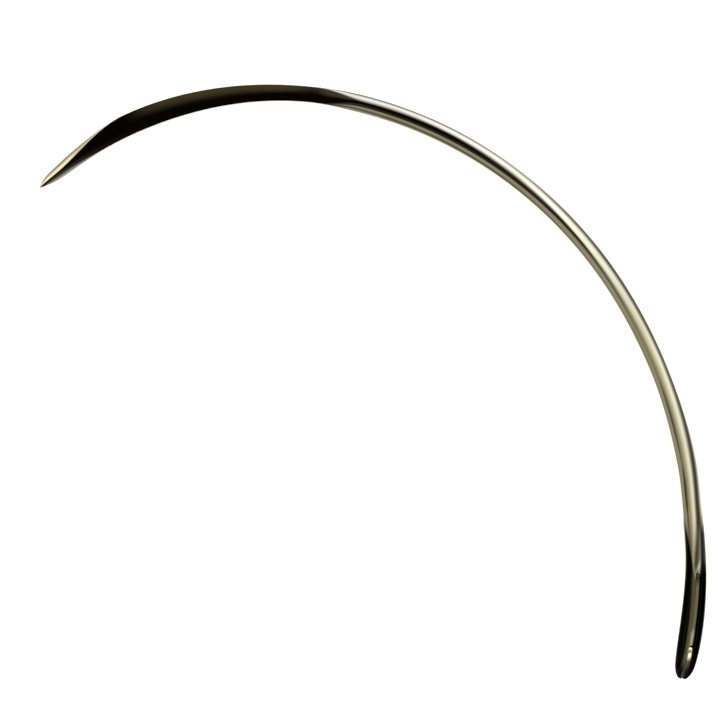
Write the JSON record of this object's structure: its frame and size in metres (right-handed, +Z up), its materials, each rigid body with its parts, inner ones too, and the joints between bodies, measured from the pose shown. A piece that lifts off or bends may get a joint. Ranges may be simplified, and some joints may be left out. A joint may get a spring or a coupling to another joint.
{
  "type": "curved needle",
  "caption": "Curved hand sewing needle of round steel wire, with a three-edged cutting blade at the point and a flattened, guttered thread eye at the other end, bent to a flat bow.",
  "frame": {"origin": "middle of the needle's base as it lies flat, on the surface it lies on", "axes": "+X along the chord from the point to the eye, +Y towards the top of the bow, +Z up out of the bow's plane"},
  "size_m": [0.0768, 0.0288, 0.0023],
  "materials": {
    "steel": "bright drawn and polished, ground on the blade, darker in the eye's gutters"
  },
  "bodies": {
    "root": {"blade": "steel", "shank": "steel", "eye": "steel"}
  },
  "joints": []
}
